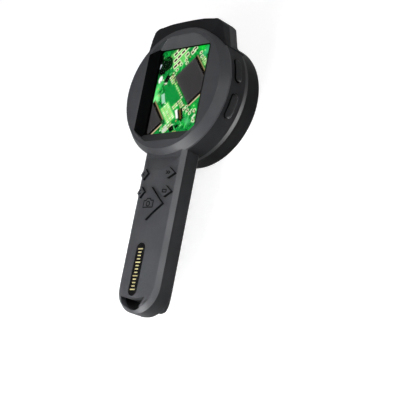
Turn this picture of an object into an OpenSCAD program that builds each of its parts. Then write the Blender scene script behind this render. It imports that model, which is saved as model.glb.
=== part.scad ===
// Handheld digital microscope with a built-in screen, all sizes in millimetres.
// Frame: origin at the centre of the light hood's rim, +Z towards the screen,
// +Y towards the crown, +X towards the two side buttons.

/* [Head] */
// outer radius of the round head
head_r = 31; // [29:0.5:36]
// wall thickness of both mouldings
wall = 1.6; // [1.2:0.1:2]
// height of the straight side wall
side_h = 10; // [9:0.5:13]
// height of the bevel round the back edge
back_bevel_h = 2.8; // [1.5:0.1:3.5]
// how far that bevel comes in
back_bevel_in = 0.9; // [0.4:0.1:1.4]
// height of the tapered ring round the screen
ring_h = 4; // [3.8:0.1:6]
// how far the ring tapers in
ring_taper = 2.6; // [1.6:0.1:2.8]
// height of the front cover's straight edge below the ring
lid_edge_h = 0.9; // [0.6:0.1:1.5]

/* [Crown] */
// half the width across the top corners
crown_half = 20.6; // [16:0.2:22]
// how far the top face stands outside the round head
crown_rise = 2.5; // [2:0.1:4]
// angle above the X axis where the slanted sides leave the head
crown_root_a = 38; // [36:0.2:42]
// corner radius
crown_corner_r = 5.4; // [2:0.1:6]
// how far the top face bows out
crown_bow = 1.4; // [0.8:0.1:1.8]
// height of the crown's front face above the side wall
crown_front_h = 2; // [1:0.1:3]
// how far the crown's back face stands above the head's back face
crown_back_step = 0.9; // [0.4:0.1:1.5]
// how far the crown's sides lean in towards the back
crown_back_in = 3.4; // [1:0.1:3.6]
// height of that lean
crown_back_h = 9; // [5:0.5:10]
// chamfer round the crown's front edge
crown_chamfer = 0.5; // [0.3:0.1:0.8]
// length of the shoulders where the crown's front face falls towards the side wall
crown_shoulder_run = 10.6; // [9:0.1:11]
// slope of those shoulders, in degrees
crown_shoulder_a = 9; // [7:0.5:9.5]

/* [Screen opening] */
// visible width of the screen
screen_w = 30.6; // [28:0.2:32]
// visible height of the screen
screen_h = 40.8; // [38:0.2:42]
// offset of the screen towards the crown
screen_y = 0.6; // [0:0.1:1]
// how far the opening's left and right walls lean out
funnel_lean_x = 4; // [2:0.1:4.6]
// how far the opening's top and bottom walls lean out
funnel_lean_y = 4.6; // [2:0.1:5]
// least width of the ring's flat face, at the opening's clipped corners
ring_face = 1.8; // [1.5:0.1:2.2]
// height of the lip that holds the window
funnel_lip = 0.4; // [0.3:0.1:0.6]

/* [Handle] */
// half the width of the handle
grip_half = 12.65; // [12.2:0.1:15]
// distance from the head axis to the end of the handle
grip_len = 101.5; // [100:0.5:120]
// corner radius of the handle's end
grip_end_r = 12; // [6:0.2:12.2]
// height of the handle's straight side wall
grip_side_h = 7.3; // [7:0.1:9]
// width of the edge chamfers
grip_chamfer = 1.8; // [1.4:0.1:2]
// rise of the front dome
grip_front_rise = 2.2; // [2:0.1:3]
// rise of the back dome
grip_back_rise = 4; // [3.6:0.1:5]
// radius of the roll-off at the end of both domes
grip_roll_r = 16; // [12:0.5:20]
// length of the front neck facet outside the head
neck_front_run = 7; // [5.8:0.1:7.4]
// length of the back neck facet outside the head
neck_back_run = 8; // [7:0.1:9.5]
// slope of the front neck facet, in degrees
neck_front_angle = 19; // [17:1:22]
// slope of the back neck facet, in degrees
neck_back_angle = 28; // [24:1:34]

/* [Lanyard slot and label] */
// bar left outside the slot
slot_bar = 1.2; // [1:0.1:2.4]
// radius of the slot's outer edge
slot_outer_r = 7.6; // [7:0.1:8]
// depth of the slot in the middle
slot_depth = 4.6; // [4.5:0.1:5.4]
// radius of the slot's inner edge
slot_inner_r = 24; // [15:0.5:30]
// wall round the slot
slot_wall = 1.3; // [1:0.1:1.6]
// width of the label
label_w = 5.2; // [4:0.1:6]
// length of the label
label_l = 23.6; // [18:0.2:24.4]
// gap between the label and the slot
label_to_slot = 1; // [0.8:0.1:2]
// thickness of the label
label_t = 0.5; // [0.3:0.05:0.7]
// clearance round the label
label_gap = 0.06; // [0.04:0.01:0.1]

/* [Keys] */
// distance of the small keys from the handle axis
key_x = 7.5; // [7.3:0.1:7.7]
// distance of the upper keys from the tip of the neck facet
key_from_neck = 1.6; // [1.4:0.1:3]
// distance between the upper and the lower keys
key_pitch = 8.4; // [7.8:0.1:9]
// half the small keys' width
key_half_x = 3; // [2.4:0.1:3.2]
// half the small keys' length
key_half_y = 2.6; // [2.2:0.1:2.8]
// distance of the shutter key beyond the lower keys
shutter_step = 5.6; // [5.4:0.1:6.4]
// half the shutter key's diagonal
shutter_half = 7.5; // [6.6:0.1:7.8]
// height of the keys above the dome
key_proud = 1.05; // [0.5:0.05:1.2]
// clearance round each key
key_gap = 0.28; // [0.15:0.01:0.3]
// key travel
key_travel = 0.4; // [0.3:0.05:0.45]
// thickness of the flange under each key
key_flange_t = 0.7; // [0.5:0.05:0.9]
// radius of the flange under each small key
key_flange_r = 2.9; // [2.6:0.05:3]

/* [Side buttons] */
// length of a side button along the wall
side_l = 11.4; // [9:0.1:12]
// height of a side button
side_w = 4; // [3:0.1:4.2]
// angle of the upper button above the X axis
side_upper_a = 15.5; // [14.5:0.5:22]
// angle of the lower button below the X axis
side_lower_a = 15.5; // [14.5:0.5:18]
// how far the buttons stand out of the wall
side_proud = 0.65; // [0.45:0.05:0.8]
// clearance round each button
side_gap = 0.24; // [0.1:0.01:0.3]
// side button travel
side_travel = 0.4; // [0.2:0.05:0.4]
// width of the flange round each button's root
side_flange = 0.6; // [0.4:0.05:0.7]
// thickness of that flange
side_flange_t = 0.9; // [0.7:0.05:1]

/* [Light hood and collar] */
// height of the hood below the back face
hood_h = 8.5; // [8:0.1:11]
// how far the hood's side is inside the head's side
hood_inset = 1.7; // [1.4:0.1:2.2]
// wall thickness at the hood's rim
hood_rim_t = 1.1; // [0.9:0.1:1.2]
// depth of the hood's straight inner wall
hood_straight = 3.1; // [2:0.1:3.4]
// wall thickness of the hood round its collar
hood_wall = 1.94; // [1.6:0.02:2.2]
// radial clearance of the hood on its collar
collar_fit = 0.06; // [0.03:0.01:0.1]
// height of the collar below the back face
collar_h = 2.3; // [2:0.1:2.5]
// wall thickness of the collar
collar_t = 2.1; // [1.6:0.1:2.3]
// gap between the seated hood and the back face
hood_seat = 0.12; // [0.08:0.01:0.2]

/* [Lamp plate and lens] */
// thickness of the lamp plate
plate_t = 1.4; // [1.1:0.1:1.5]
// distance of the lamp windows' middle from the plate's edge
window_edge = 7.8; // [6.6:0.1:8.6]
// window size along the ring
window_l = 9; // [7:0.1:9.6]
// window size across the ring
window_w = 5.2; // [4.2:0.1:5.4]
// thickness of the clear windows
window_t = 0.7; // [0.5:0.05:0.9]
// fit clearance of pressed-in pieces
press_gap = 0.05; // [0.03:0.01:0.08]
// outer radius of the lens dish
dish_r = 8.5; // [7.5:0.1:9]
// inner radius of the dish's floor
dish_floor_r = 3.6; // [3.3:0.1:4]
// depth of the lens dish
dish_depth = 2.5; // [2:0.1:2.6]
// wall thickness of the lens dish
dish_t = 0.8; // [0.6:0.05:0.9]
// radius of the lens
lens_r = 2.8; // [2.4:0.1:3]
// outer radius of the lens barrel
barrel_r = 4.6; // [4.4:0.1:5]

/* [Inside] */
// thickness of the circuit boards
board_t = 1; // [0.8:0.1:1.1]
// space between the main board and the head's wall
board_edge = 2.8; // [2.6:0.1:3.2]
// height of the lamps on their board
lamp_t = 0.8; // [0.6:0.05:0.9]
// window glass thickness
glass_t = 0.9; // [0.7:0.05:1]
// border of the window glass round the visible screen
glass_border = 1.2; // [0.8:0.05:1.2]
// thickness of the foam gasket
gasket_t = 0.4; // [0.3:0.05:0.5]
// thickness of the screen panel
panel_t = 2; // [1.6:0.1:2.1]
// thickness of the screen's steel backing frame
backing_t = 0.4; // [0.3:0.05:0.5]
// battery width
battery_w = 17; // [14:0.2:17.6]
// space between the battery's end and the slot's wall
battery_end = 4.8; // [2:0.2:14]
// battery thickness
battery_t = 5.6; // [4:0.1:6]
// radius of the speaker
speaker_r = 6.4; // [5:0.1:6.6]
// thickness of the speaker
speaker_t = 2.6; // [2:0.1:3]
// distance of the vent and speaker from the tip of the back facet
vent_from_neck = 11; // [10:0.1:11.4]
// side of the image chip on the main board
chip_main = 10; // [8:0.2:11]
// length of the memory chip
chip_memory_l = 11; // [8:0.2:12]
// width of the memory chip
chip_memory_w = 8; // [6:0.2:8.4]
// side of the three small chips
chip_small = 5; // [3.6:0.2:5.4]
// height of the chips
chip_t = 0.9; // [0.6:0.05:1.2]
// side of the image sensor
sensor_w = 6; // [4.6:0.1:6.2]
// height of the image sensor
sensor_t = 0.7; // [0.5:0.05:0.8]
// head radius of the board screws
screw_head_r = 1.5; // [1.2:0.05:1.7]
// head height of the board screws
screw_head_h = 0.8; // [0.6:0.05:1]
// width of the side switches
switch_w = 6.4; // [5:0.1:7]
// depth of the side switches
switch_depth = 3.4; // [2.8:0.1:3.8]
// width of the two ribbon cables
ribbon_w = 8; // [6:0.2:12]
// thickness of the two ribbon cables
ribbon_t = 0.25; // [0.2:0.01:0.3]
// pitch of the vent holes along the diamond's sides
vent_pitch = 2.7; // [2.3:0.1:3]
// radius of the vent holes
vent_r = 0.55; // [0.4:0.05:0.7]

/* [Hidden] */
$fn = 96;
eps = 0.01;

// places that follow from the head
crown_y = head_r + crown_rise;
crown_root_half = (head_r + 0.4) * cos(crown_root_a);
crown_root_y = (head_r + 0.4) * sin(crown_root_a);
funnel_r = head_r - ring_taper - ring_face;
neck_front_y = head_r + neck_front_run;
neck_back_y = head_r + neck_back_run;
key_upper_y = neck_front_y + key_from_neck;
key_lower_y = key_upper_y + key_pitch;
shutter_y = key_lower_y + shutter_step;
vent_y = neck_back_y + vent_from_neck;
hood_r = head_r - hood_inset;
collar_r = hood_r - hood_wall - collar_fit;
board_r = head_r - wall - board_edge;

// heights along Z
back_z = hood_h;
wall_lo_z = back_z + back_bevel_h;
wall_hi_z = wall_lo_z + side_h;
split_z = wall_hi_z - lid_edge_h;
front_z = wall_hi_z + ring_h;
crown_z = wall_hi_z + crown_front_h;
floor_z = back_z + wall;
grip_lo_z = split_z - grip_side_h;
grip_top_z = split_z + grip_chamfer + grip_front_rise;
grip_bot_z = grip_lo_z - grip_chamfer - grip_back_rise;
side_z = (wall_lo_z + wall_hi_z) / 2;

// how far each dome rolls off at the end of the handle
front_drop = 0.73 * grip_front_rise;
back_drop = 0.55 * grip_back_rise;

// radii of the two handle domes, from their chord and rise
dome_half = grip_half - grip_chamfer;
front_dome_r = (dome_half * dome_half + grip_front_rise * grip_front_rise) / (2 * grip_front_rise);
back_dome_r = (dome_half * dome_half + grip_back_rise * grip_back_rise) / (2 * grip_back_rise);
front_dome_z = grip_top_z - front_dome_r;
back_dome_z = grip_bot_z + back_dome_r;

// heights of the pieces behind the screen
glass_top_z = split_z + 1.4;
funnel_z = glass_top_z + funnel_lip;
glass_lo_z = glass_top_z - glass_t;
panel_top_z = glass_lo_z - gasket_t;
panel_lo_z = panel_top_z - panel_t;
backing_lo_z = panel_lo_z - backing_t;
glass_w = screen_w + 2 * glass_border;
glass_h = screen_h + 2 * glass_border;

// heights of the lamp plate and the boards
collar_z = back_z - collar_h;
collar_in_r = collar_r - collar_t;
plate_top_z = collar_z + plate_t;
lamp_lo_z = plate_top_z + 0.1;
lamp_board_z = lamp_lo_z + lamp_t;
ledge_z = lamp_board_z + board_t;
plate_r = collar_in_r - press_gap;
window_r = collar_in_r - window_edge;
ledge_in_r = collar_in_r - 2.2;
dish_z = collar_z + dish_depth;
board_z = floor_z + 3.1;
board_top_z = board_z + board_t;
boss_at_r = board_r - 2.2;
boss_r = 1.9;
pilot_r = 0.65;
boss_angles = [46, 134, 228, 312];
window_angles = [90, 162, 234, 306, 18];

// heights under the keys
flange_top_z = grip_skin_z(key_x + key_flange_r) - 0.3;
flange_lo_z = flange_top_z - key_flange_t;
nub_z = flange_lo_z - key_travel - 0.15;
sheet_z = nub_z - 0.35;
sheet_lo_z = sheet_z - 0.5;
switch_lo_z = sheet_lo_z - 0.7;
keyboard_z = switch_lo_z - board_t;
keyboard_half = grip_half - wall - 0.5;
keyboard_top_y = neck_front_y - 3.4;
keyboard_end_y = shutter_y + shutter_half + 1.2;
shutter_flange_half = shutter_half - 0.5;

// side buttons and their switches
side_inner_r = sqrt((head_r - wall) * (head_r - wall) - pow(side_l / 2 + side_flange, 2));
side_flange_out = side_inner_r - 0.15;
side_flange_in = side_flange_out - side_flange_t;
switch_tip_r = side_flange_in - side_travel - 0.1;
switch_body_r = switch_tip_r - 0.7;
switch_h = side_z - board_top_z + 1.2;

// crown sockets
usb_x = -6.4;
usb_w = 8.94;
usb_h = 3.2;
usb_depth = 7.3;
usb_gap = 0.2;
card_x = 7;
card_w = 13.4;
card_h = 1.5;
card_depth = 12;
card_slot_w = 11.6;
card_slot_h = 1.1;
crown_inner_y = crown_y - crown_bow - wall;
tab_half = 15;
tab_y = crown_inner_y - 0.6;
usb_z = board_top_z + usb_h / 2;
card_z = board_top_z + card_h / 2;

// battery, speaker and slot
battery_top_y = keyboard_end_y + 1;
pad_t = 0.5;
pad_z = grip_floor_z(battery_w / 2) + 0.15;
battery_z = pad_z + pad_t;
speaker_z = grip_floor_z(speaker_r) + 0.2;
slot_end_y = grip_len - slot_bar;
slot_top_y = slot_end_y - slot_depth;
cavity_end_y = slot_top_y - slot_wall - 1.9;
cover_gap = 0.05;
crown_back_z = back_z + crown_back_step;
dome_ledge = 0.05;
dome_root = 0.5;
label_y = slot_top_y - label_to_slot - label_l / 2;
battery_l = cavity_end_y - battery_end - battery_top_y;
rib_ys = [battery_top_y + battery_l / 6, battery_top_y + 5 * battery_l / 6];

// inner height of the front dome and of the back dome at a distance x from the handle axis
function grip_skin_z(x) = front_dome_z + sqrt(pow(front_dome_r - wall, 2) - x * x);
function grip_floor_z(x) = back_dome_z - sqrt(pow(back_dome_r - wall, 2) - x * x);

// Plans

// handle outline, its end towards -Y, moved in by inset
module grip_plan(inset = 0) {
  h = grip_half - inset;
  r = grip_end_r - inset;
  l = grip_len - inset;
  translate([-h, -(l - r)])
    square([2 * h, l - r - 20]);
  translate([-(h - r), -l])
    square([2 * (h - r), 2 * r]);
  for (s = [-1, 1])
    translate([s * (h - r), -(l - r)])
      circle(r);
}

// crown outline, moved in by inset
module crown_plan(inset = 0) {
  dx = crown_root_half - crown_half;
  dy = crown_y - crown_bow - crown_root_y;
  n = sqrt(dx * dx + dy * dy);
  nx = dy / n;
  ny = dx / n;
  top = crown_y - crown_bow - inset;
  r = crown_corner_r;
  // sharp corner of the slanted side, then the centre and the two ends of its rounding
  sx = crown_half + (crown_y - crown_bow - top) * dx / dy - inset / nx;
  cy = top - r;
  cx = sx + (top - cy) * dx / dy - r / nx;
  rx = crown_root_half - inset / nx;
  // the bow's arc ends a little below the straight edge, inside the rounded corner
  rise = crown_bow + 0.1;
  bow_r = (cx * cx + rise * rise) / (2 * rise);
  polygon([
    [cx, top], [cx + r * nx, cy + r * ny], [rx, crown_root_y], [rx - 8, 6],
    [-rx + 8, 6], [-rx, crown_root_y], [-cx - r * nx, cy + r * ny], [-cx, top]
  ]);
  for (s = [-1, 1])
    translate([s * cx, cy])
      circle(r);
  intersection() {
    translate([0, top + crown_bow - bow_r])
      circle(bow_r);
    translate([-cx, top - 1])
      square([2 * cx, 1 + 2 * crown_bow]);
  }
}

// hollow of the crown, whose sides stay clear of their lean
module crown_hollow() {
  dx = crown_root_half - crown_half;
  dy = crown_y - crown_bow - crown_root_y;
  rx = crown_root_half - (wall + crown_back_in) * sqrt(dx * dx + dy * dy) / dy;
  tx = rx - (crown_inner_y - crown_root_y) * dx / dy;
  polygon([
    [tx, crown_inner_y], [rx, crown_root_y], [rx - 8, 6],
    [-rx + 8, 6], [-rx, crown_root_y], [-tx, crown_inner_y]
  ]);
}

// crescent lanyard slot, grown by extra
module slot_plan(extra = 0) {
  difference() {
    translate([0, -(slot_end_y - slot_outer_r)])
      circle(slot_outer_r + extra);
    translate([0, -(slot_top_y - slot_inner_r)])
      circle(slot_inner_r - extra);
  }
}

module pill_plan(l, w) {
  square([l - w, w], center = true);
  for (s = [-1, 1])
    translate([s * (l - w) / 2, 0])
      circle(w / 2);
}

module diamond_plan(hx, hy) {
  polygon([[hx, 0], [0, hy], [-hx, 0], [0, -hy]]);
}

// prism along -Y from a plan in X and Z
module along_y(from_y, len) {
  translate([0, -from_y, 0])
    rotate([90, 0, 0])
      linear_extrude(len)
        children();
}

// prism along X from a plan in Y and Z, centred
module along_x(len) {
  translate([-len / 2, 0, 0])
    rotate([90, 0, 90])
      linear_extrude(len)
        children();
}

// Housing solids

// chamfered edge of the handle from its full outline at z to the inset outline, up or down
module grip_edge(z, dir) {
  c = grip_chamfer;
  h = grip_half;
  r = grip_end_r;
  l = grip_len;
  translate([0, 0, z])
    mirror([0, 0, dir < 0 ? 1 : 0]) {
        along_y(24, l - r - 24)
          polygon([[-h, 0], [h, 0], [h - c, c], [-(h - c), c]]);
        for (s = [-1, 1])
          translate([s * (h - r), -(l - r), 0])
            cylinder(r1 = r, r2 = r - c, h = c);
        along_x(2 * (h - r))
          polygon([[-(l - r), 0], [-l, 0], [-(l - c), c], [-(l - r), c]]);
      }
}

// side view of a dome that rolls off by drop at its end, top at height 0
module roll_plan(drop) {
  reach = sqrt(2 * grip_roll_r * drop - drop * drop);
  cy = grip_len - grip_chamfer - reach;
  translate([-cy, -grip_roll_r])
    circle(grip_roll_r, $fn = 160);
  translate([-cy, -20])
    square([cy, 20]);
}

// what the slanted neck facets take off the two domes, moved inwards by inset
module front_facet(inset = 0) {
  translate([0, -neck_front_y, grip_top_z])
    rotate([-neck_front_angle, 0, 0])
      translate([-20, -30, -inset])
        cube([40, 60, 40]);
}

module back_facet(inset = 0) {
  translate([0, -neck_back_y, grip_bot_z])
    rotate([neck_back_angle, 0, 0])
      translate([-20, -30, inset - 40])
        cube([40, 60, 40]);
}

module front_dome() {
  base = split_z + grip_chamfer;
  difference() {
    intersection() {
      translate([0, 0, base - dome_root])
        linear_extrude(grip_front_rise + 1 + dome_root)
          grip_plan(grip_chamfer + dome_ledge);
      along_y(24, grip_len)
        translate([0, front_dome_z])
          circle(front_dome_r, $fn = 160);
      along_x(4 * grip_half)
        translate([0, grip_top_z])
          roll_plan(front_drop);
    }
    front_facet();
  }
}

module back_dome() {
  base = grip_lo_z - grip_chamfer;
  difference() {
    intersection() {
      translate([0, 0, base - grip_back_rise - 1])
        linear_extrude(grip_back_rise + 1 + dome_root)
          grip_plan(grip_chamfer + dome_ledge);
      along_y(24, grip_len)
        translate([0, back_dome_z])
          circle(back_dome_r, $fn = 160);
      along_x(4 * grip_half)
        translate([0, grip_bot_z])
          mirror([0, 1])
            roll_plan(back_drop);
    }
    back_facet();
  }
}

// hollow of the handle, shared by both mouldings
module grip_cavity() {
  difference() {
    along_y(20, cavity_end_y - 20)
      intersection() {
        translate([0, front_dome_z])
          circle(front_dome_r - wall, $fn = 160);
        translate([0, back_dome_z])
          circle(back_dome_r - wall, $fn = 160);
        translate([-(grip_half - wall), grip_bot_z])
          square([2 * (grip_half - wall), grip_top_z - grip_bot_z]);
      }
    front_facet(wall);
    back_facet(wall);
  }
}

module bevel_plan(inset, height) {
  polygon([[-1.25 * inset, -0.25 * height], [0, height], [9, height], [9, -0.25 * height]]);
}

// cutters that bevel the crown's straight top edge and its slanted side edges
module crown_top_bevel(inset, height) {
  translate([0, crown_y, 0])
    along_x(60)
      bevel_plan(inset, height);
}

module crown_side_bevels(inset, height) {
  dx = crown_root_half - crown_half;
  dy = crown_y - crown_bow - crown_root_y;
  lean = atan(dx / dy);
  for (s = [0, 1])
    mirror([s, 0, 0])
      translate([crown_root_half, crown_root_y, 0])
        rotate([0, 0, lean])
          translate([0, 24, 0])
            along_y(0, 24)
              bevel_plan(inset, height);
}

// cutters for the shoulders beside the ring, which fall off from a slanted line on the front face
module crown_shoulders() {
  turn = 42;
  for (s = [0, 1])
    mirror([s, 0, 0])
      translate([crown_root_half, crown_root_y, crown_z])
        rotate([0, 0, turn])
          translate([0, crown_shoulder_run, 0])
            rotate([crown_shoulder_a, 0, 0])
              translate([-40, -40, 0])
                cube([80, 40, 10]);
}

// sloped opening in front of the screen, grown by extra
module funnel(extra = 0) {
  rise = front_z - funnel_z;
  hw = screen_w / 2 + 0.1 + extra;
  hh = screen_h / 2 + 0.1 + extra;
  kx = funnel_lean_x / rise;
  ky = funnel_lean_y / rise;
  up = rise + 1;
  intersection() {
    along_y(-40, 80)
      polygon([
        [-hw, funnel_z], [hw, funnel_z],
        [hw + kx * up, funnel_z + up], [-hw - kx * up, funnel_z + up]
      ]);
    along_x(80)
      polygon([
        [screen_y - hh, funnel_z], [screen_y + hh, funnel_z],
        [screen_y + hh + ky * up, funnel_z + up], [screen_y - hh - ky * up, funnel_z + up]
      ]);
    cylinder(r = funnel_r + extra, h = 60);
  }
}

// diamond hole for a key
module key_hole(x, y, hx, hy) {
  translate([x, -y, split_z - 6])
    linear_extrude(20)
      diamond_plan(hx + key_gap, hy + key_gap);
}

module side_frame(a) {
  rotate([0, 0, a])
    translate([0, 0, side_z])
      rotate([90, 0, 90])
        children();
}

module label_block(grow, depth) {
  translate([0, -label_y, grip_top_z - depth - 2])
    linear_extrude(depth + 4)
      rotate([0, 0, 90])
        pill_plan(label_l + 2 * grow, label_w + 2 * grow);
}

module front_cover() {
  color("dimgray") {
    difference() {
      union() {
        translate([0, 0, split_z])
          cylinder(r = head_r, h = lid_edge_h, $fn = 160);
        translate([0, 0, wall_hi_z])
          cylinder(r1 = head_r, r2 = head_r - ring_taper, h = ring_h, $fn = 160);
        grip_edge(split_z, 1);
        front_dome();
      }
      // screen opening and window seat
      funnel();
      translate([-screen_w / 2 - 0.1, screen_y - screen_h / 2 - 0.1, split_z - 1])
        cube([screen_w + 0.2, screen_h + 0.2, funnel_z - split_z + 1 + eps]);
      translate([0, 0, split_z - 1])
        cylinder(r = head_r - wall - 1, h = glass_top_z - split_z + 1);
      // hollow under the ring
      difference() {
        translate([0, 0, glass_top_z - 0.3])
          cylinder(r1 = head_r - wall - 1.4, r2 = head_r - ring_taper - wall, h = front_z - glass_top_z - wall + 0.3);
        translate([0, 0, -funnel_lip - 0.2])
          funnel(wall);
        translate([-glass_w / 2 - 1, screen_y - glass_h / 2 - 1, 0])
          cube([glass_w + 2, glass_h + 2, funnel_z + 0.8]);
      }
      difference() {
        grip_cavity();
        cylinder(r = head_r - 1, h = 60);
      }
      // keys, label and lanyard slot
      for (s = [-1, 1], y = [key_upper_y, key_lower_y])
        key_hole(s * key_x, y, key_half_x, key_half_y);
      key_hole(0, shutter_y, shutter_half, shutter_half);
      difference() {
        label_block(label_gap, 3);
        along_y(20, grip_len)
          translate([0, front_dome_z])
            circle(front_dome_r - label_t, $fn = 160);
      }
      translate([0, 0, split_z - 1])
        linear_extrude(20)
          slot_plan();
    }
    // locating tongue inside the rear case
    difference() {
      translate([0, 0, split_z - 1.4])
        cylinder(r = head_r - wall - 0.1, h = 1.4 + 0.3);
      translate([0, 0, split_z - 2])
        cylinder(r = head_r - wall - 1, h = 4);
      translate([-glass_w / 2 - 0.4, screen_y - glass_h / 2 - 0.6, 0])
        cube([glass_w + 0.8, glass_h + 1.2, 60]);
      translate([-grip_half, -60, 0])
        cube([2 * grip_half, 60, 60]);
      translate([0, 0, split_z - 4])
        linear_extrude(8)
          crown_plan(wall);
    }
  }
}

// crown with its roof, which laps over the front cover's edge and ring
module crown_block() {
  difference() {
    translate([0, 0, crown_back_z])
      linear_extrude(crown_z - crown_back_z)
        crown_plan();
    translate([0, 0, crown_back_z]) {
      crown_top_bevel(back_bevel_in, back_bevel_h);
      crown_side_bevels(crown_back_in, crown_back_h);
    }
    translate([0, 0, crown_z])
      mirror([0, 0, 1]) {
        crown_top_bevel(crown_chamfer, crown_chamfer);
        crown_side_bevels(crown_chamfer, crown_chamfer);
      }
    crown_shoulders();
    translate([0, 0, split_z])
      cylinder(r = head_r + cover_gap, h = lid_edge_h, $fn = 160);
    translate([0, 0, wall_hi_z])
      cylinder(r1 = head_r + cover_gap, r2 = head_r + cover_gap - ring_taper, h = ring_h, $fn = 160);
  }
}

module rear_case() {
  color("dimgray") {
    difference() {
      union() {
        translate([0, 0, wall_lo_z])
          cylinder(r = head_r, h = split_z - wall_lo_z, $fn = 160);
        translate([0, 0, back_z])
          cylinder(r1 = head_r - back_bevel_in, r2 = head_r, h = back_bevel_h, $fn = 160);
        crown_block();
        translate([0, 0, grip_lo_z])
          linear_extrude(grip_side_h)
            grip_plan();
        grip_edge(grip_lo_z, -1);
        back_dome();
        // collar for the hood
        translate([0, 0, collar_z])
          cylinder(r = collar_r, h = collar_h + 0.4, $fn = 160);
      }
      // hollow of the head and crown, with the ledge for the lamp board
      translate([0, 0, floor_z])
        cylinder(r = head_r - wall, h = 40);
      translate([0, 0, collar_z - 1])
        cylinder(r = collar_in_r, h = ledge_z - collar_z + 1);
      translate([0, 0, back_z])
        cylinder(r = ledge_in_r, h = 20);
      translate([0, 0, floor_z + crown_back_step])
        linear_extrude(split_z - floor_z - crown_back_step)
          crown_hollow();
      // hollow of the handle, less its ribs, speaker seat and slot wall
      difference() {
        grip_cavity();
        for (y = rib_ys)
          translate([-20, -y - 0.6, 0])
            cube([40, 1.2, pad_z]);
        difference() {
          translate([0, -vent_y, 0])
            cylinder(r = speaker_r, h = speaker_z);
          translate([0, -vent_y, -1])
            cylinder(r = speaker_r - 1.2, h = 60);
        }
      }
      // lanyard slot and vent
      linear_extrude(60)
        slot_plan();
      for (i = [0:2], j = [0:2])
        translate([(i - j) * vent_pitch / sqrt(2), -vent_y + (i + j - 2) * vent_pitch / sqrt(2), 0])
          cylinder(r = vent_r, h = grip_lo_z);
      // side buttons
      for (a = [side_upper_a, -side_lower_a])
        side_frame(a)
          translate([0, 0, head_r - wall - 2])
            linear_extrude(8)
              pill_plan(side_l + 2 * side_gap, side_w + 2 * side_gap);
      // sockets in the crown
      translate([usb_x, crown_inner_y - 2, usb_z])
        rotate([-90, 0, 0])
          linear_extrude(10)
            pill_plan(usb_w + 2 * usb_gap, usb_h + 2 * usb_gap);
      translate([card_x - card_slot_w / 2, crown_inner_y - 2, card_z - card_slot_h / 2])
        cube([card_slot_w, 10, card_slot_h]);
    }
    // bosses under the main board
    for (a = boss_angles)
      rotate([0, 0, a])
        translate([boss_at_r, 0, floor_z - 0.2])
          difference() {
            cylinder(r = boss_r, h = board_z - floor_z + 0.2);
            translate([0, 0, 0.6])
              cylinder(r = pilot_r, h = 20);
          }
  }
}

module light_hood() {
  lip_r = collar_r - 0.8;
  color("black")
    rotate_extrude($fn = 160)
      polygon([
        [hood_r - hood_rim_t, 0], [hood_r, 0], [hood_r, back_z - hood_seat],
        [collar_r + collar_fit, back_z - hood_seat],
        [collar_r + collar_fit, collar_z - hood_seat],
        [lip_r, collar_z - hood_seat],
        [hood_r - hood_rim_t, hood_straight]
      ]);
}

module label_plate() {
  color("black")
    difference() {
      intersection() {
        label_block(0, 3);
        front_dome();
      }
      along_y(20, grip_len)
        translate([0, front_dome_z])
          circle(front_dome_r - label_t + 0.02, $fn = 160);
    }
}

// Keys

module dome_key(x, y, hx, hy) {
  intersection() {
    translate([x, -y, flange_top_z])
      linear_extrude(20)
        diamond_plan(hx, hy);
    along_y(20, grip_len)
      translate([0, front_dome_z])
        circle(front_dome_r + key_proud, $fn = 160);
  }
}

module small_key(x, y) {
  color("gray") {
    dome_key(x, y, key_half_x, key_half_y);
    translate([x, -y, flange_lo_z])
      cylinder(r = key_flange_r, h = key_flange_t + eps);
  }
}

module key_upper_left() {
  small_key(-key_x, key_upper_y);
}

module key_upper_right() {
  small_key(key_x, key_upper_y);
}

module key_lower_left() {
  small_key(-key_x, key_lower_y);
}

module key_lower_right() {
  small_key(key_x, key_lower_y);
}

module shutter_key() {
  color("gray") {
    dome_key(0, shutter_y, shutter_half, shutter_half);
    translate([0, -shutter_y, flange_lo_z])
      cylinder(r = 3.2, h = flange_top_z - flange_lo_z + eps);
  }
}

module side_button(a) {
  color("gray")
    side_frame(a) {
      translate([0, 0, side_flange_in])
        linear_extrude(side_flange_t)
          pill_plan(side_l + 2 * side_flange, side_w + 2 * side_flange);
      intersection() {
        translate([0, 0, side_flange_in])
          linear_extrude(8)
            pill_plan(side_l, side_w);
        rotate([90, 0, 0])
          cylinder(r = head_r + side_proud, h = 40, center = true, $fn = 160);
      }
    }
}

module side_button_upper() {
  side_button(side_upper_a);
}

module side_button_lower() {
  side_button(-side_lower_a);
}

// Screen

module screen_plate(w, h, z, t) {
  translate([-w / 2, screen_y - h / 2, z])
    cube([w, h, t]);
}

module screen_window() {
  color("lightblue")
    screen_plate(glass_w, glass_h, glass_lo_z, glass_t);
}

module screen_gasket() {
  color("black")
    difference() {
      screen_plate(glass_w, glass_h, panel_top_z, gasket_t);
      screen_plate(screen_w, screen_h, panel_top_z - 1, gasket_t + 2);
    }
}

module lcd_panel() {
  color("darkgreen")
    screen_plate(glass_w, glass_h, panel_lo_z, panel_t);
}

module lcd_backing() {
  side = 0.3;
  gap = 0.1;
  color("silver") {
    screen_plate(glass_w - 2, glass_h - 6, backing_lo_z, backing_t);
    for (s = [-1, 1])
      translate([s * (glass_w / 2 + gap + side / 2) - side / 2, screen_y - 9, backing_lo_z])
        cube([side, 18, backing_t + panel_t / 2]);
    for (s = [-1, 1])
      translate([s * (glass_w / 2 - 0.5) - 1, screen_y - 9, backing_lo_z])
        cube([2, 18, backing_t]);
  }
}

module lcd_flex() {
  y = glass_h / 2 - screen_y - 2.6;
  color("orange")
    along_x(1.5 * ribbon_w)
      polygon([
        [-y, panel_lo_z], [-y - 1.6, panel_lo_z],
        [-y - 1.6, panel_lo_z - ribbon_t], [-y + 2, board_top_z], [-y + 3, board_top_z],
        [-y + 3, board_top_z + ribbon_t], [-y + 2.2, board_top_z + ribbon_t]
      ]);
}

// Main board

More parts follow.
